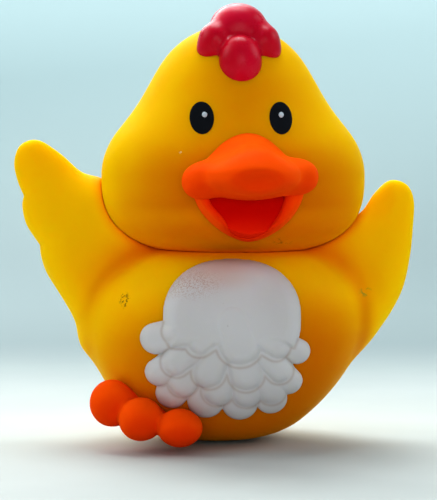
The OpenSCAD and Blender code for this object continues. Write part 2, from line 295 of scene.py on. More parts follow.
class Nodes:
    """Shorthand for building one material's nodes."""

    def __init__(self, name):
        self.material = bpy.data.materials.new(name)
        self.material.use_nodes = True
        self.tree = self.material.node_tree
        self.shader = self.tree.nodes["Principled BSDF"]
        self.place = self.tree.nodes.new("ShaderNodeTexCoord").outputs["Object"]

    def node(self, kind, **values):
        node = self.tree.nodes.new(kind)
        for key, value in values.items():
            setattr(node, key, value)
        return node

    def link(self, out, into):
        self.tree.links.new(out, into)

    def noise(self, size_mm, detail=2.0, roughness=0.5, shift=0.0):
        """A noise between 0 and 1; the shift gives one of its own to each use."""
        node = self.node("ShaderNodeTexNoise")
        node.inputs["Scale"].default_value = MM / size_mm
        node.inputs["Detail"].default_value = detail
        node.inputs["Roughness"].default_value = roughness
        place = self.place
        if shift:
            move = self.node("ShaderNodeVectorMath", operation="ADD")
            self.link(place, move.inputs[0])
            move.inputs[1].default_value = (shift, shift * 0.7, -shift)
            place = move.outputs[0]
        self.link(place, node.inputs["Vector"])
        return node.outputs["Fac"]

    def remap(self, value, low, high, to_low=0.0, to_high=1.0, smooth=True):
        node = self.node("ShaderNodeMapRange")
        node.interpolation_type = "SMOOTHSTEP" if smooth else "LINEAR"
        self.link(value, node.inputs["Value"])
        ends = {"From Min": low, "From Max": high, "To Min": to_low, "To Max": to_high}
        for key, number in ends.items():
            node.inputs[key].default_value = number
        return node.outputs["Result"]

    def give(self, value, into):
        """Links another node's output, or sets a plain value."""
        if hasattr(value, "links"):
            self.link(value, into)
        else:
            into.default_value = value

    def product(self, a, c):
        node = self.node("ShaderNodeMath", operation="MULTIPLY")
        self.give(a, node.inputs[0])
        self.give(c, node.inputs[1])
        return node.outputs[0]

    def mix(self, share, a, c):
        """Colour a where the share is 0 and c where it is 1."""
        node = self.node("ShaderNodeMix", data_type="RGBA")
        for value, socket in ((share, 0), (a, 6), (c, 7)):
            self.give(value, node.inputs[socket])
        return node.outputs[2]

    def kept(self, name):
        """A value that a piece keeps for each of its points."""
        return self.node("ShaderNodeAttribute", attribute_name=name).outputs["Fac"]

    def painted_facing_shade(self, low, high, most):
        """How much a wall faces the front and the floor: the mask for painted shade on those sides."""
        facing = self.node("ShaderNodeVectorMath", operation="DOT_PRODUCT")
        self.link(self.node("ShaderNodeNewGeometry").outputs["Normal"], facing.inputs[0])
        facing.inputs[1].default_value = FRONT_AND_DOWN
        return self.remap(facing.outputs["Value"], low, high, 0, most)

    def spot(self, centre_mm, radii_mm):
        """Distance from a point, as a share of the given radii."""
        move = self.node("ShaderNodeVectorMath", operation="SUBTRACT")
        self.link(self.place, move.inputs[0])
        move.inputs[1].default_value = [c / MM for c in centre_mm]
        shrink = self.node("ShaderNodeVectorMath", operation="MULTIPLY")
        self.link(move.outputs[0], shrink.inputs[0])
        shrink.inputs[1].default_value = [MM / r for r in radii_mm]
        size = self.node("ShaderNodeVectorMath", operation="LENGTH")
        self.link(shrink.outputs[0], size.inputs[0])
        return size.outputs["Value"]

    def bump(self, *layers):
        """Stacked bumps, each (height, depth in millimetres)."""
        last = None
        for height, depth_mm in layers:
            node = self.node("ShaderNodeBump")
            node.inputs["Strength"].default_value = 1.0
            node.inputs["Distance"].default_value = depth_mm / MM
            self.link(height, node.inputs["Height"])
            if last:
                self.link(last, node.inputs["Normal"])
            last = node.outputs[0]
        self.link(last, self.shader.inputs["Normal"])

    def set(self, **values):
        for key, value in values.items():
            self.shader.inputs[key.replace("_", " ")].default_value = value


def colour(red, green, blue):
    """Linear colour from a display colour out of 255, by the sRGB curve."""
    def linear(v):
        v /= 255
        return v / 12.92 if v <= 0.04045 else ((v + 0.055) / 1.055) ** 2.4
    return (linear(red), linear(green), linear(blue), 1.0)


def soft_vinyl(name, main, deep, light, depth_mm=1.6, share=0.3, gloss=0.42, grain=0.012):
    """Moulded soft vinyl: faintly translucent and satin, with a fine grain and soft unevenness."""
    n = Nodes(name)
    broad = n.noise(14, 2, 0.5)
    fine = n.noise(0.9, 3, 0.6, 0.3)
    base = n.mix(n.remap(broad, 0.35, 0.7), deep, main)
    base = n.mix(n.remap(fine, 0.55, 0.8, 0, 0.18), base, light)
    sheen = n.remap(n.noise(3.0, 3, 0.6, 0.6), 0.3, 0.7, gloss - 0.06, gloss + 0.08)
    n.link(sheen, n.shader.inputs["Roughness"])
    n.set(Subsurface_Weight=share, Subsurface_Scale=depth_mm / MM, Subsurface_Radius=SCATTER,
          Specular_IOR_Level=0.03, IOR=1.2)
    n.bump((n.noise(2.6, 2, 0.5, 0.9), 0.03), (n.noise(0.22, 2, 0.6), grain))
    return n, base


# Marks of use: place, reach, size of the flecks, strength and colour
TORSO_MARKS = [((-13.4, -14, 22.1), (1.1, 9, 1.5), 0.7, 0.85, colour(60, 44, 20)),
               ((22.4, -3, 22.8), (1.3, 9, 0.9), 0.9, 0.6, colour(110, 150, 60))]
HEAD_MARKS = [((9.9, -15, 30.6), (2.2, 6, 0.9), 0.8, 0.6, colour(110, 70, 20)),
              ((-5.1, -14, 43.6), (0.3, 6, 0.3), 0.3, 0.8, colour(250, 240, 200))]


def yellow_skin(name, marks):
    """Yellow vinyl, with painted shade that turns it orange where the wall faces the front or the floor,
    along the seam under the head and in the valleys by the wings, and painted light on the wings.
    """
    n, base = soft_vinyl(name, colour(252, 188, 3), colour(248, 178, 2), colour(253, 198, 10), depth_mm=3.0)
    off_wings = n.remap(n.kept("wing_share"), 0, 1, 1, 0.1, smooth=False)
    # painted shade: a darker orange on walls that face the front or the floor, kept mostly off the wings
    warm = n.product(n.painted_facing_shade(0.1, 1.0, 0.88), off_wings)
    base = n.mix(warm, base, colour(200, 96, 1))
    # painted light: the wings are painted a lighter yellow, for light shining through their thin vinyl
    base = n.mix(n.product(n.kept("wing_share"), 0.75), base, colour(255, 198, 6))
    # painted shade: a deeper orange along the seam where the head sits in the body
    seam = n.remap(n.kept("seam_distance"), 0.0, 1.8, 1, 0)
    # painted shade: a deeper orange in the valleys where the wings meet the body
    base = n.mix(n.product(n.kept("valley"), 0.8), base, colour(224, 104, 2))
    base = n.mix(n.product(seam, 0.6), base, colour(252, 146, 6))
    glow = n.remap(n.kept("seam_distance"), 0.3, 3.0, 0.0, 0.7)
    n.link(glow, n.shader.inputs["Subsurface Weight"])
    for centre, radii, grain_mm, strength, tint in marks:
        patch = n.remap(n.spot(centre, radii), 0.35, 1.0, 1, 0)
        flecks = n.remap(n.noise(grain_mm, 3, 0.7, 0.2), 0.5, 0.6)
        base = n.mix(n.product(n.product(patch, flecks), strength), base, tint)
    n.link(base, n.shader.inputs["Base Color"])
    return n.material


def orange_paint(name):
    n, base = soft_vinyl(name, colour(254, 92, 8), colour(250, 82, 6), colour(254, 106, 16),
                         share=0.25, gloss=0.5)
    # painted shade: a darker orange on the sides that face the front or the floor
    base = n.mix(n.painted_facing_shade(0.3, 1.0, 0.55), base, colour(214, 46, 3))
    base = n.mix(n.product(n.kept("red_share"), 0.6), base, colour(226, 34, 4))
    n.link(base, n.shader.inputs["Base Color"])
    return n.material


def mouth_paint(name):
    """Red paint, with painted light that makes it lighter and more orange towards the mouth's lower lip,
    away from the shade under the bill.
    """
    n, base = soft_vinyl(name, colour(216, 16, 2), colour(206, 12, 2), colour(226, 30, 10),
                         share=0.1, gloss=0.4)
    at = n.node("ShaderNodeSeparateXYZ")
    n.link(n.place, at.inputs[0])
    # painted light: lighter and more orange low in the mouth, darker up under the bill
    low = n.remap(at.outputs["Z"], (MOUTH_LIP[1] + 0.3) / MM, (MOUTH_LIP[1] + 4) / MM, 0.8, 0)
    base = n.mix(low, base, colour(238, 44, 8))
    n.link(base, n.shader.inputs["Base Color"])
    return n.material


def comb_paint(name):
    n, base = soft_vinyl(name, colour(214, 14, 60), colour(190, 3, 34), colour(228, 44, 92),
                         share=0.1, gloss=0.3)
    n.set(Specular_IOR_Level=0.3, IOR=1.3)
    n.link(base, n.shader.inputs["Base Color"])
    return n.material


def belly_paint(name):
    """Matte white paint, rubbed down to brown flecks at its top left, with painted shade in its creases and
    under the chin.
    """
    n, base = soft_vinyl(name, colour(204, 202, 204), colour(197, 194, 195), colour(212, 209, 209),
                         share=0.08, gloss=0.62, grain=0.02)
    # painted shade: brownish darkening along the folds where one feather laps over the next
    base = n.mix(n.product(n.kept("fold"), 0.34), base, colour(150, 118, 96))
    # painted shade: a warm darker patch at the top of the belly, under the head
    painted_chin_shade = n.remap(n.spot((1.0, -16, 26.0), (7.0, 8, 3.6)), 0.1, 1.0, 0.5, 0)
    base = n.mix(painted_chin_shade, base, colour(196, 150, 128))
    rubbed = n.remap(n.spot((-3.2, -16, 24.6), (6.5, 8, 3.4)), 0.2, 1.0, 1, 0)
    flecks = n.remap(n.noise(0.2, 3, 0.7, 0.8), 0.47, 0.6)
    base = n.mix(n.product(n.product(rubbed, flecks), 0.6), base, colour(160, 96, 52))
    specks = n.remap(n.noise(1.6, 1, 0.4, 0.5), 0.79, 0.82)
    base = n.mix(n.product(specks, 0.6), base, colour(120, 100, 104))
    n.link(base, n.shader.inputs["Base Color"])
    return n.material


def eye_paint(name):
    n, base = soft_vinyl(name, colour(30, 33, 38), colour(22, 24, 28), colour(46, 50, 58),
                         share=0.0, gloss=0.2)
    n.link(base, n.shader.inputs["Base Color"])
    return n.material


def glint_paint(name):
    n, base = soft_vinyl(name, colour(196, 206, 214), colour(176, 188, 198), colour(210, 220, 226),
                         share=0.0, gloss=0.4)
    n.link(base, n.shader.inputs["Base Color"])
    return n.material


def stiff_plastic(name, main, deep):
    n = Nodes(name)
    n.link(n.mix(n.remap(n.noise(4, 3), 0.35, 0.65), deep, main), n.shader.inputs["Base Color"])
    n.link(n.remap(n.noise(1.2, 3, 0.6, 0.4), 0.3, 0.7, 0.3, 0.5), n.shader.inputs["Roughness"])
    n.bump((n.noise(0.4, 2), 0.01))
    return n.material


def reed_brass(name):
    n = Nodes(name)
    n.link(n.mix(n.remap(n.noise(1.5, 4), 0.4, 0.7), colour(196, 160, 78), colour(222, 190, 110)),
           n.shader.inputs["Base Color"])
    n.set(Metallic=1.0)
    n.link(n.remap(n.noise(0.5, 3, 0.6, 0.4), 0.3, 0.7, 0.25, 0.42), n.shader.inputs["Roughness"])
    n.bump((n.noise(0.15, 2), 0.004))
    return n.material


# ---------------------------------------------------------------- torso, wings and tail
TORSO_MID_Z, TORSO_TOP = 17.5, 31.0
SEAT_GAP = 0.02  # between the head and the seat cut for it
BASE_ROUNDING, HOLE_ROUNDING, THIN_ROUNDING = 3.4, 0.3, 0.2
NECK_HOLE_R, BARREL_LIP = 8.7, 1.0  # the base's hole is a lip smaller than the barrel
AROUND = 3  # how far the torso's block reaches past it
# Tail: a rod from inside the body to its tip
TAIL_ROOT, TAIL_ROOT_R = (0, 12, 15), 6.8
TAIL_TIP_R, TAIL_TIP_Z = 2.8, 24.0
TAIL_BLEND = 5
# Wings: outlines seen from the front, and the places where they are thinnest
WING_BLEND, WING_ROUNDING = 3.2, 4.5
WING_THIN, WING_MORE, WING_MORE_OVER = 2.7, 2.6, 20  # half thickness at the tip and what the root adds
WING_BACK, WING_SWEEP, WING_SWEEP_OVER = 3.4, 2.0, 18  # how far back the tip is and what the root takes off
RIGHT_TIP, LEFT_TIP = (-29, 43), (28, 37)
RIGHT_WING = [(-9, 28), (-12.5, 37.0), (-17.4, 39.8), (-20.8, 40.9), (-24.2, 43.8), (-27.6, 45.8),
              (-30.2, 45.0), (-31.2, 42.4), (-30.7, 39.6), (-29.75, 37.3), (-29.7, 37.15),
              (-29.9, 35.6), (-29.2, 32.8), (-27.2, 29.8), (-27.1, 29.6), (-26.9, 28.0),
              (-26.0, 25.4), (-23.6, 21.5), (-21.6, 18.0), (-19.5, 13.5), (-10, 12)]
LEFT_WING = [(9, 24), (14, 30), (19, 33), (22.2, 34.8), (24.2, 37.6), (26.6, 39.6), (29.2, 38.9),
             (30.3, 36.4), (30.1, 32.0), (29.6, 27.8), (28.5, 23.2), (26.6, 19.4), (24.3, 16.2),
             (22.2, 14.4), (20.0, 13.6), (16, 13.2), (10, 13)]
# Head: its middle and radii, and where its oval face turns into the round chin
HEAD_MID_Z, HEAD_R, FACE_R = 40.3, 20, 17.2
CHIN_TOP, CHIN_OVER = 36.0, 5.5
# What the yellow skin reads: where the wings' painted light starts, and the painted shade in the valleys
# where they meet the body
WING_SHARE_FROM, WING_SHARE_OVER = 0.2, 2.5
VALLEY_WIDTH, VALLEY_LONG = 3.2, 14.0


def torso_base(b):
    """The torso's bare egg, leaning sideways towards the neck."""
    return egg(shifted(b, NECK[0] * b.z / TORSO_TOP), (0, 0, TORSO_MID_Z), side=21, front=19, back=19,
               up=13.5, down=20, up_power=2.2, down_power=1.65)


def wing(b, outline, tip):
    """A soft web inside an outline, thinner at its tip and swept a little back."""
    along = np.sqrt((b.x - tip[0]) ** 2 + (b.z - tip[1]) ** 2)
    thick = WING_THIN + WING_MORE * soft_step(along / WING_MORE_OVER)
    middle = WING_BACK - WING_SWEEP * soft_step(along / WING_SWEEP_OVER)
    near_edge = np.maximum(outline_distance(b, outline) + WING_ROUNDING, 0) / WING_ROUNDING
    share = np.sqrt(near_edge ** 2 + ((b.y - middle) / thick) ** 2)
    return steady(np.broadcast_to(share, b.shape), b.pitch)


def head_cheeks(b, round_all=False):
    """The cheeks and chin; the chin is round, so that it turns in its seat without opening a gap."""
    roundness = 1.0 if round_all else soft_step((CHIN_TOP - b.z) / CHIN_OVER)
    front = FACE_R + (HEAD_R - FACE_R) * roundness
    return egg(b, (0, 0, HEAD_MID_Z), side=HEAD_R, front=front, back=front,
               up=14, down=12.1, up_power=2.0, down_power=2.8)


def seat_field(b):
    """The space that the head turns in."""
    return head_cheeks(shifted(b, NECK[0]), True) - SEAT_GAP


def torso_field(b):
    """The torso's outside, the hollow in it, the head's seat, the bare body and the solid wings."""
    tail_tip = (0, TORSO_HIGH[1] - TAIL_TIP_R, TAIL_TIP_Z)
    tail = rounded_cone(b, TAIL_ROOT, tail_tip, TAIL_ROOT_R, TAIL_TIP_R)
    bare = join(torso_base(b), tail, TAIL_BLEND)
    wings = np.minimum(wing(b, RIGHT_WING, RIGHT_TIP), wing(b, LEFT_WING, LEFT_TIP))
    seat = seat_field(b)
    hollow = np.maximum(np.maximum(bare + WALL, WALL - b.z), WALL - seat)
    return np.maximum(join(bare, wings, WING_BLEND), -seat), hollow, seat, bare, wings


def make_torso(material):
    low = (TORSO_LOW[0] - AROUND, TORSO_LOW[1] - AROUND, -2)
    b = Block(low, TORSO_HIGH + AROUND, PITCH)
    body, hollow, seat, bare, wings = torso_field(b)
    neck_hole = upright(b, NECK[0], 0, NECK_HOLE_R, low=20, high=60)
    base_hole = upright(b, 0, 0, BARREL_RADIUS - BARREL_LIP, low=-5, high=WALL + 1)
    solid = cut(cut(body, b.z, BASE_ROUNDING), hollow, THIN_ROUNDING)
    solid = cut(cut(solid, neck_hole, HOLE_ROUNDING), base_hole, THIN_ROUNDING)
    points, faces = field_mesh(solid, b)
    torso = make_piece("torso_skin", points, faces, material)
    from_seat = np.abs(sample(seat, b, points))
    from_body, from_wings = sample(bare, b, points), sample(wings, b, points)
    # distance from the head's seat, read for the painted seam shade and the lower scattering there
    note(torso, "seam_distance", from_seat)
    # where the wings start: the yellow skin paints light there and keeps the front shade off
    note(torso, "wing_share", soft_step((from_body - WING_SHARE_FROM) / WING_SHARE_OVER))
    # mask for the painted shade in the valleys between the wings and the body
    near_both = np.exp(-(from_body ** 2 + from_wings ** 2) / VALLEY_WIDTH ** 2)
    note(torso, "valley", near_both * soft_step(1 - from_seat / VALLEY_LONG))
    return torso


# ---------------------------------------------------------------- head
DOME_MID, DOME_RADII, DOME_BLEND = (0, 0.5, 50.3), (12.9, 13.2, 12.9), 5
NECK_R, NECK_LIP_R, NECK_BORE_R = 6.4, 7.2, 4.5
NECK_FOOT, NECK_LIP_TOP, NECK_TOP, NECK_BORE_TOP = 22.9, 23.9, 34, 33
LIP_BLEND, NECK_BLEND = 0.4, 0.5
HEAD_BLOCK = (-22, -20, 21), (22, 20, 66)


def head_field(b):
    """The outside of the straight head, without its bill, comb and eyes."""
    return join(head_cheeks(b), ellipsoid(b, DOME_MID, DOME_RADII), DOME_BLEND)


def make_head(material):
    b = Block(*HEAD_BLOCK, PITCH)
    outer = head_field(b)
    neck = upright(b, 0, 0, NECK_R, low=NECK_FOOT, high=NECK_TOP)
    lip = upright(b, 0, 0, NECK_LIP_R, low=NECK_FOOT, high=NECK_LIP_TOP)
    bore = upright(b, 0, 0, NECK_BORE_R, low=10, high=NECK_BORE_TOP)
    solid = join(outer, join(neck, lip, LIP_BLEND), NECK_BLEND)
    solid = cut(cut(solid, outer + WALL, THIN_ROUNDING), bore, THIN_ROUNDING)
    points, faces = field_mesh(solid, b)
    seam = torso_base(shifted(b, -NECK[0]))
    head = make_piece("head_skin", turned(points), faces, material)
    # distance from the torso's top, read for the painted seam shade on the chin
    note(head, "seam_distance", np.abs(sample(seam, b, points)))
    return head


# ---------------------------------------------------------------- bill and mouth
BILL_X = 0.85  # the bill sits a little to one side
RUN_IN = 1.0  # how far pieces on the head or the body run into it
MOUTH_LIP, MOUTH_TILT = (-21.6, 31.2), 68  # Y and Z of the jaw's front edge, and the tilt of its rim
MOUTH_DEEP, MOUTH_ROUNDING = 1.45, 0.7  # how far the lining lies behind that rim, and the opening's edge
LINING_SEAM = 0.3  # the lining's gap to the jaw
RED_REACH = 1.3  # width of the red rim on the jaw
# Forms of the upper bill: middle and radii, or for the ridge its two ends and their radii
BILL_TIP = (0, -20.5, 40.2)
BILL_RIDGE = (0, -15.0, 43.3), (0, -25.6, 41.2), 2.6, 2.3
BILL_ROOT = (-0.2, -15.2, 41.7), (5.4, 5.6, 4.2)
BILL_WEB = (0, -17.0, 39.9), (8.8, 5.8, 2.5)
BILL_KNOBS = [((-7.2, -18.4, 39.3), (2.5, 3.4, 2.4)), ((7.2, -18.4, 40.1), (2.5, 3.4, 2.3))]
BILL_DIMPLE = (0.2, -31.6, 39.0), (3.8, 3.3, 1.6)
RIDGE_BLEND, ROOT_BLEND, WEB_BLEND, KNOB_BLEND, DIMPLE_ROUNDING = 3.2, 2.0, 2.5, 1.8, 1.2
JAW_MID = (0, -14, 38.2)
BILL_BLOCK = (-13, -34, 27), (13, -6, 50)
MOUTH_OUTLINE = [(-5.2, 40), (-4.9, 36.6), (-3.1, 34.2), (-1.7, 32.1), (0.45, 31.35), (2.4, 31.9),
                 (4.0, 33.5), (5.3, 35.6), (6.0, 38), (6.0, 40)]


def upper_bill_field(b):
    """A broad soft bill: a ridge that runs out to a blunt tip, and a round knob at each corner."""
    c = shifted(b, BILL_X)
    bill = egg(c, BILL_TIP, side=6.9, front=10.0, back=8, up=2.9, down=2.7, up_power=2.2, down_power=2.4)
    bill = join(bill, rounded_cone(c, *BILL_RIDGE), RIDGE_BLEND)
    bill = join(bill, ellipsoid(c, *BILL_ROOT), ROOT_BLEND)
    bill = join(bill, ellipsoid(c, *BILL_WEB), WEB_BLEND)
    for knob in BILL_KNOBS:
        bill = join(bill, ellipsoid(c, *knob), KNOB_BLEND)
    return cut(bill, ellipsoid(c, *BILL_DIMPLE), DIMPLE_ROUNDING)


def lower_jaw_field(b):
    """A scoop that hangs open under the bill."""
    return egg(shifted(b, BILL_X), JAW_MID, side=8.1, front=13.6, back=8, up=4, down=7.6,
               up_power=2, down_power=1.7)


def open_mouth(b, deep=0.0):
    """Positive in front of the jaw's rim, or of a sheet so deep behind it."""
    tilt = math.radians(MOUTH_TILT)
    return (b.z - MOUTH_LIP[1]) * math.cos(tilt) - (b.y - MOUTH_LIP[0]) * math.sin(tilt) + deep


def make_bill(orange, red):
    """The upper bill, the jaw with its red rim, and the lining of the mouth between them."""
    b = Block(*BILL_BLOCK, SMALL_PITCH)
    inside = -(head_field(b) + RUN_IN)
    upper = np.maximum(upper_bill_field(b), inside)
    points, faces = field_mesh(upper, b)
    top = make_piece("bill_upper", turned(points), faces, orange)
    sides = outline_distance(b, MOUTH_OUTLINE) + 0 * b.y
    scoop = lower_jaw_field(b)
    jaw = np.maximum(cut(scoop, -open_mouth(b), MOUTH_ROUNDING), inside)
    jaw = cut(jaw, sides, MOUTH_ROUNDING)
    points, faces = field_mesh(jaw, b)
    bottom = make_piece("bill_lower", turned(points), faces, orange)
    note(bottom, "red_share", soft_step(1 - (sample(sides, b, points) - 0.1) / RED_REACH))
    lining = np.maximum(np.maximum(sides - LINING_SEAM, open_mouth(b, MOUTH_DEEP)),
                        np.maximum(inside, scoop + LINING_SEAM))
    points, faces = field_mesh(lining, b)
    mouth = make_piece("mouth_inside", turned(points), faces, red)
    return top, bottom, mouth


# ---------------------------------------------------------------- comb
COMB_BLEND = 1.3
COMB_BLOCK = (-9, -18, 50), (9, 8, 69)
# Lobes on the straight head: centre and radii
COMB_LOBES = [
    ((0.15, -10.2, 56.9), (3.15, 3.3, 3.9)),
    ((-3.3, -7.3, 60.3), (2.5, 3.2, 2.6)), ((-4.3, -7.4, 58.7), (1.6, 2.3, 1.5)),
    ((3.9, -7.2, 60.1), (2.4, 3.2, 2.6)), ((4.8, -7.2, 58.5), (1.5, 2.2, 1.5)),
    ((0.4, -5.6, 62.2), (4.2, 4.0, 3.5)), ((0.4, -2.6, 62.8), (4.1, 4.2, 3.3))]


def make_comb(material):
    b = Block(*COMB_BLOCK, COMB_PITCH)
    comb = None
    for centre, radii in COMB_LOBES:
        lobe = ellipsoid(b, centre, radii)
        comb = lobe if comb is None else join(comb, lobe, COMB_BLEND)
    comb = np.maximum(comb, -(head_field(b) + RUN_IN))
    points, faces = field_mesh(comb, b)
    return make_piece("comb_lobes", turned(points), faces, material)


# ---------------------------------------------------------------- eyes
EYE_X, EYE_Z, EYE_SIZE, EYE_PROUD = 5.75, 48.6, (3.65, 5.05), 0.2
GLINT_UP, GLINT_SIZE, GLINT_PROUD = 0.4, (0.85, 0.95), 0.42
GLINT_INWARDS = {"right": 0.45, "left": 0}  # the right eye's glint sits nearer the bill
DISC_PITCH, DISC_REACH, DISC_NEAR, DISC_FAR = 0.5, 5, -20, -4  # the block round a disc
DISC_START, DISC_ROUNDS = -14.0, 12  # Y where its points start, and the steps that bring them to the face
DISC_SUNK, DISC_THICK = 0.06, 0.5


def disc_on_head(name, centre, size, proud, material, rings=10, spokes=48):
    """A thin domed oval laid on the face, seen from the front at a place on the straight head."""
    b = Block((centre[0] - DISC_REACH, DISC_NEAR, centre[1] - DISC_REACH),
              (centre[0] + DISC_REACH, DISC_FAR, centre[1] + DISC_REACH), DISC_PITCH)
    field = head_field(b)
    points, faces = [], []
    for r in range(rings + 1):
        share = r / rings
        for s in range(spokes):
            a = 2 * math.pi * s / spokes
            points.append((centre[0] + size[0] / 2 * share * math.cos(a), DISC_START,
                           centre[1] + size[1] / 2 * share * math.sin(a), share))
    points = np.array(points)
    at = points[:, :3].copy()
    for _ in range(DISC_ROUNDS):
        at[:, 1] += sample(field, b, at)
    steps = np.eye(3) * 0.3
    normal = np.stack([sample(field, b, at + d) - sample(field, b, at - d) for d in steps], axis=1)
    normal /= np.linalg.norm(normal, axis=1)[:, None]
    lift = proud * np.sqrt(np.maximum(1 - points[:, 3] ** 4, 0)) - DISC_SUNK
    top = at + normal * lift[:, None]
    under = at - normal * DISC_THICK
    n = len(top)
    for r in range(rings):
        for s in range(spokes):
            a, c = r * spokes + s, r * spokes + (s + 1) % spokes
            faces.append((a, c, c + spokes, a + spokes))
            faces.append((n + a + spokes, n + c + spokes, n + c, n + a))
    for s in range(spokes):
        a, c = rings * spokes + s, rings * spokes + (s + 1) % spokes
        faces.append((a, c, n + c, n + a))
    return make_piece(name, turned(np.vstack([top, under])), faces, material)


# ---------------------------------------------------------------- belly feathers
# Feathers from the top row down: x, z, radius and how far each row stands out
FEATHERS = [
    (-5.9, 18.0, 1.9, 2.6), (-2.3, 16.5, 2.2, 2.6), (3.5, 16.4, 3.55, 2.75), (8.7, 15.8, 2.1, 2.6),
    (-8.7, 16.8, 2.25, 1.3), (11.8, 14.9, 1.85, 1.3),
    (-5.7, 13.5, 2.3, 1.95), (-1.0, 12.1, 2.6, 2.0), (4.4, 11.8, 2.75, 2.0), (9.2, 12.2, 2.1, 1.95),
    (-8.2, 11.8, 2.1, 1.3), (-4.8, 10.4, 2.3, 1.35), (0.3, 9.3, 2.5, 1.35), (4.5, 8.9, 2.4, 1.35),
    (8.2, 9.0, 2.2, 1.3), (10.6, 10.4, 2.0, 1.3),
    (-6.5, 8.6, 2.3, 0.75), (-1.5, 7.6, 2.65, 0.75), (3.5, 7.2, 2.6, 0.75), (8.1, 7.7, 2.3, 0.75)]
FEATHER_ROOT = 3.2  # how far each feather runs up under the row above
FEATHER_EDGE = 1.9  # width of its rounded edge
FEATHER_FALL = 4  # how steeply its height falls away outside
FOLD_WIDTH, FOLD_IN = 0.2, 0.05  # a fold's width, and how far inside the feather's edge it lies
SAME_ROW = 0.2  # feathers that stand out this nearly alike are one row
FOLD_STEP, FOLD_STEP_OVER = 0.1, 0.4  # a fold starts at this step down, and is full this much later
FOLD_ON, FOLD_COVER = 0.3, 0.3  # how tall that neighbour has to be, and what an upper feather hides
BREAST_MID = (2.35, 19.7)
BREAST_WIDE, BREAST_TALL, BREAST_LOW = 9.9, 8.4, 15.5
BREAST_PROUD, BREAST_POWER = 2.6, 2.3
# The flat patch that the feathers stand on: its middle, radius, height and the steepness of its edge
PATCH_MID, PATCH_R, PATCH_PROUD, PATCH_EDGE = (1.6, 15.0), 8.6, 0.5, 9
BELLY_UNDER = 0.8  # how far the relief runs into the torso
BELLY_BLOCK = (-13, -25, 1), (17, -4, 32)


def feather_layers(x, z):
    """For the breast and each feather: how far inside its edge a place is, the edge's width, its height."""
    across, up = (x - BREAST_MID[0]) / BREAST_WIDE, (z - BREAST_MID[1]) / BREAST_TALL
    round_breast = np.abs(across) ** BREAST_POWER + np.abs(up) ** BREAST_POWER
    breast = np.minimum(BREAST_TALL * (1 - round_breast ** (1 / BREAST_POWER)), z - BREAST_LOW)
    layers = [(breast, FEATHER_EDGE, BREAST_PROUD)]
    for cx, cz, radius, proud in FEATHERS:
        root = np.array(BREAST_MID) - (cx, cz)
        root *= min(FEATHER_ROOT, np.hypot(*root)) / np.hypot(*root)
        t = np.clip(((x - cx) * root[0] + (z - cz) * root[1]) / (root @ root), 0, 1)
        inside = radius - np.hypot(x - cx - t * root[0], z - cz - t * root[1])
        layers.append((inside, min(FEATHER_EDGE, radius), proud))
    return layers


def swell(inside, edge, proud):
    """Height of one feather: round at its edge, flat further in, and falling away outside."""
    rise = np.clip(inside / edge, -1, 1)
    return np.where(rise > 0, proud * np.sqrt(1 - (1 - np.clip(rise, 0, 1)) ** 2), rise * FEATHER_FALL)


def feather_height(x, z):
    """How far the belly stands out from the torso."""
    flat = np.hypot((x - PATCH_MID[0]) / PATCH_R, (z - PATCH_MID[1]) / PATCH_R)
    height = PATCH_PROUD * np.clip(PATCH_EDGE * (1 - flat), -4, 1)
    for layer in feather_layers(x, z):
        height = np.maximum(height, swell(*layer))
    return height


def folds(x, z):
    """1 in the fold along a feather's edge, where it laps over a lower one, and 0 away from it."""
    layers = feather_layers(x, z)
    heights = [swell(*layer) for layer in layers]
    fold = np.zeros(len(x))
    for k, (inside, _, proud) in enumerate(layers):
        below = np.max([h for m, h in enumerate(heights) if m != k], axis=0)
        covers = [other for m, (other, _, h) in enumerate(layers) if m != k and h > proud - SAME_ROW]
        bared = np.clip(1 - np.max(covers, axis=0, initial=-1) / FOLD_COVER, 0, 1)
        step = np.clip((proud - below - FOLD_STEP) / FOLD_STEP_OVER, 0, 1) * (below > FOLD_ON) * bared
        fold = np.maximum(fold, step * np.exp(-((inside - FOLD_IN) / FOLD_WIDTH) ** 2))
    return fold


def make_belly(material):
    """A raised patch of rounded feathers, each row lapping over the next one down."""
    b = Block(*BELLY_BLOCK, BELLY_PITCH)
    height = feather_height(b.x[:, :, 0][:, :, None], b.z)
    base = torso_base(b)
    relief = np.maximum(np.maximum(base - height, -(base + BELLY_UNDER)), b.y + 2)
    relief = cut(relief, seat_field(b), HOLE_ROUNDING)
    points, faces = field_mesh(relief, b)
    belly = make_piece("belly_relief", points, faces, material)
    # the mask for the painted shade along the feathers' folds
    note(belly, "fold", folds(points[:, 0], points[:, 2]))
    return belly


# ---------------------------------------------------------------- feet
# Each foot's heel, and the middle and radii of each of its toes
FRONT_HEEL = (-5, -4, 3.0)
FRONT_TOES = [((-15.3, -11.4, 6.9), (3.1, 3.2, 3.4)), ((-10.9, -14.5, 4.9), (3.2, 3.3, 3.1)),
              ((-5.2, -15.8, 3.8), (3.3, 3.3, 2.7))]
REAR_HEEL = (0, 5, 3.0)
REAR_TOES = [((-5.2, 12.6, 2.9), (3.1, 3.2, 3.0)), ((0, 14.2, 2.9), (3.2, 3.3, 3.0)),
             ((5.2, 12.6, 2.9), (3.1, 3.2, 3.0))]
TOE_SHARE, HEEL_SHARE = 0.7, 0.3  # the root of a toe lies between its middle and the heel
TOE_FRONT_R, TOE_ROOT_R = 0.85, 0.7  # the rod to that root, as shares of the toe's height
TOE_BLEND, FOOT_BLEND, SOLE_ROUNDING = 1.0, 0.8, 0.4
ROOM_BELOW, ROOM_ABOVE = (3, 3, 2), (3, 3, 4)  # how far a foot's block reaches past its CAD solid


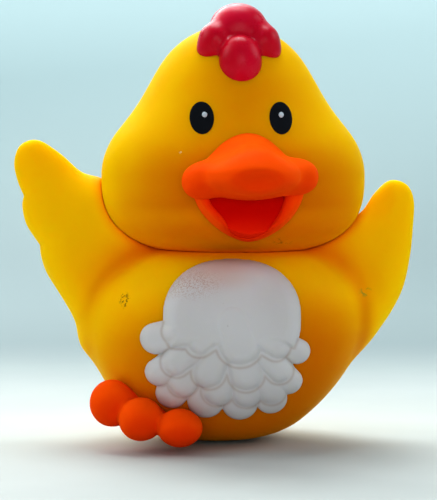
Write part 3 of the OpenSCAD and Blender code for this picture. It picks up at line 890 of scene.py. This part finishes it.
def make_foot(name, node, heel, toes, material):
    """Plump toes in a fan that come out from under the body, each running back to the heel."""
    low, high = box_mm(node)
    b = Block(low - ROOM_BELOW, high + ROOM_ABOVE, SMALL_PITCH)
    foot = None
    for centre, radii in toes:
        root = np.array(centre) * TOE_SHARE + np.array(heel) * HEEL_SHARE
        rod = rounded_cone(b, centre, root, radii[2] * TOE_FRONT_R, radii[2] * TOE_ROOT_R)
        toe = join(ellipsoid(b, centre, radii), rod, TOE_BLEND)
        foot = toe if foot is None else join(foot, toe, FOOT_BLEND)
    foot = np.maximum(cut(foot, b.z, SOLE_ROUNDING), -(torso_base(b) + RUN_IN))
    points, faces = field_mesh(foot, b)
    return make_piece(name, points, faces, material)


# ---------------------------------------------------------------- put together
yellow = yellow_skin("yellow_vinyl", TORSO_MARKS)
head_yellow = yellow_skin("yellow_vinyl_head", HEAD_MARKS)
orange = orange_paint("orange_vinyl")

torso = make_torso(yellow)
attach(torso, "torso")
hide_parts("torso_shell")

belly = make_belly(belly_paint("white_paint"))
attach(belly, "torso")
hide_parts("belly_feathers")

for piece in (torso, belly):
    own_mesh(piece)

front_foot = make_foot("front_foot", "right_foot", FRONT_HEEL, FRONT_TOES, orange)
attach(front_foot, "torso")
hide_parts("right_foot")

rear_foot = make_foot("rear_foot", "left_foot", REAR_HEEL, REAR_TOES, orange)
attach(rear_foot, "torso")
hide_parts("left_foot")

head = make_head(head_yellow)
comb = make_comb(comb_paint("red_gloss"))
bill_top, bill_bottom, mouth = make_bill(orange, mouth_paint("mouth_red"))
black = eye_paint("eye_black")
white = glint_paint("glint_white")
for piece, node, slot in ((head, "head_shell", "skin_yellow"), (comb, "comb", "comb_red"),
                          (bill_top, "upper_beak", "beak_orange"),
                          (bill_bottom, "lower_beak", "beak_orange"),
                          (mouth, "mouth_lining", "mouth_red")):
    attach(piece, "head")
    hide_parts(node)
for side, name in ((-1, "right"), (1, "left")):
    eye = disc_on_head(name + "_eye_oval", (side * EYE_X, EYE_Z), EYE_SIZE, EYE_PROUD, black)
    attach(eye, "head")
    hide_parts(name + "_eye")
    glint_at = (side * EYE_X + GLINT_INWARDS[name], EYE_Z + GLINT_UP)
    glint = disc_on_head(name + "_glint_dot", glint_at, GLINT_SIZE, GLINT_PROUD, white,
                         rings=5, spokes=20)
    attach(glint, "head")
    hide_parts(name + "_eye_glint")

# Pieces that keep their CAD form and get a material of their own
PLAIN = {
    "neck_ring": stiff_plastic("ring_plastic", colour(232, 229, 220), colour(222, 218, 208)),
    "squeaker_barrel": stiff_plastic("barrel_plastic", colour(228, 228, 222), colour(216, 216, 210)),
    "squeaker_cap": stiff_plastic("cap_plastic", colour(228, 228, 222), colour(212, 212, 206)),
    "reed_trough": stiff_plastic("trough_plastic", colour(232, 230, 220), colour(220, 216, 204)),
    "reed_clip": stiff_plastic("clip_plastic", colour(226, 226, 220), colour(212, 212, 206)),
    "squeaker_reed": reed_brass("reed_brass"),
}
for node, material in PLAIN.items():
    obj = frame["nodes"][node]
    obj.data.materials.clear()
    obj.data.materials.append(material)


# ---------------------------------------------------------------- studio
def make_stage():
    """A pale floor that sweeps up behind, in one sheet. Its sizes are in metres."""
    width, near, far, bend, tall = 2.5, -0.6, 0.3, 1.0, 2.0
    profile = [(near, 0), (far, 0)]
    steps = 24
    for i in range(1, steps + 1):
        a = math.radians(90 * i / steps)
        profile.append((far + bend * math.sin(a), bend * (1 - math.cos(a))))
    profile.append((far + bend, tall))
    points = [(x, y, z) for y, z in profile for x in (-width, width)]
    faces = [(2 * i, 2 * i + 1, 2 * i + 3, 2 * i + 2) for i in range(len(profile) - 1)]
    mesh = bpy.data.meshes.new("floor")
    mesh.from_pydata(points, [], faces)
    mesh.shade_smooth()
    floor = bpy.data.objects.new("floor", mesh)
    bpy.context.collection.objects.link(floor)
    n = Nodes("floor_paper")
    paper = n.mix(n.remap(n.noise(30, 3), 0.3, 0.7), colour(186, 190, 188), colour(191, 195, 193))
    away = n.node("ShaderNodeSeparateXYZ")
    n.link(n.place, away.inputs[0])
    # painted shade: the paper is darker in a band where the floor starts to sweep up behind
    painted_shade_band = n.mix(n.remap(away.outputs["Y"], 0.0, 0.18), paper, colour(124, 136, 138))
    n.link(n.mix(n.remap(away.outputs["Y"], 0.4, 1.15), painted_shade_band, colour(208, 228, 230)),
           n.shader.inputs["Base Color"])
    n.set(Roughness=0.9)
    mesh.materials.append(n.material)


def area_light(name, place, target, size, power, tint):
    """A round light, placed in metres, that points at its target."""
    data = bpy.data.lights.new(name, "AREA")
    data.shape, data.size, data.energy, data.color = "DISK", size, power, tint
    light = bpy.data.objects.new(name, data)
    light.location = place
    light.rotation_euler = (Vector(target) - Vector(place)).to_track_quat("-Z", "Y").to_euler()
    bpy.context.collection.objects.link(light)


def make_lights():
    middle, backdrop = (0, 0, 0.035), (0, 1.2, 0.3)
    white, warm, cool, sky = (1.0, 0.99, 0.97), (1.0, 0.97, 0.94), (0.95, 0.97, 1.0), (0.86, 0.98, 1.0)
    area_light("top_back", (-0.14, 0.36, 0.42), middle, size=0.5, power=2.5, tint=white)
    area_light("left_side", (-0.8, 0.1, 0.6), middle, size=0.6, power=2.7, tint=white)
    area_light("right_side", (0.8, 0.15, 0.5), middle, size=0.6, power=2.1, tint=cool)
    area_light("front_fill", (0.05, -0.6, 0.05), middle, size=0.5, power=1.45, tint=warm)
    area_light("backdrop_wash", (0, 0.5, 1.4), backdrop, size=0.9, power=16.0, tint=sky)
    world = bpy.data.worlds.new("studio")
    world.use_nodes = True
    world.node_tree.nodes["Background"].inputs[0].default_value = (0.78, 0.9, 0.95, 1)
    world.node_tree.nodes["Background"].inputs[1].default_value = 0.3
    bpy.context.scene.world = world


make_stage()
make_lights()
bpy.context.scene.view_settings.view_transform = "Standard"
bpy.context.scene.view_settings.look = "Medium High Contrast"
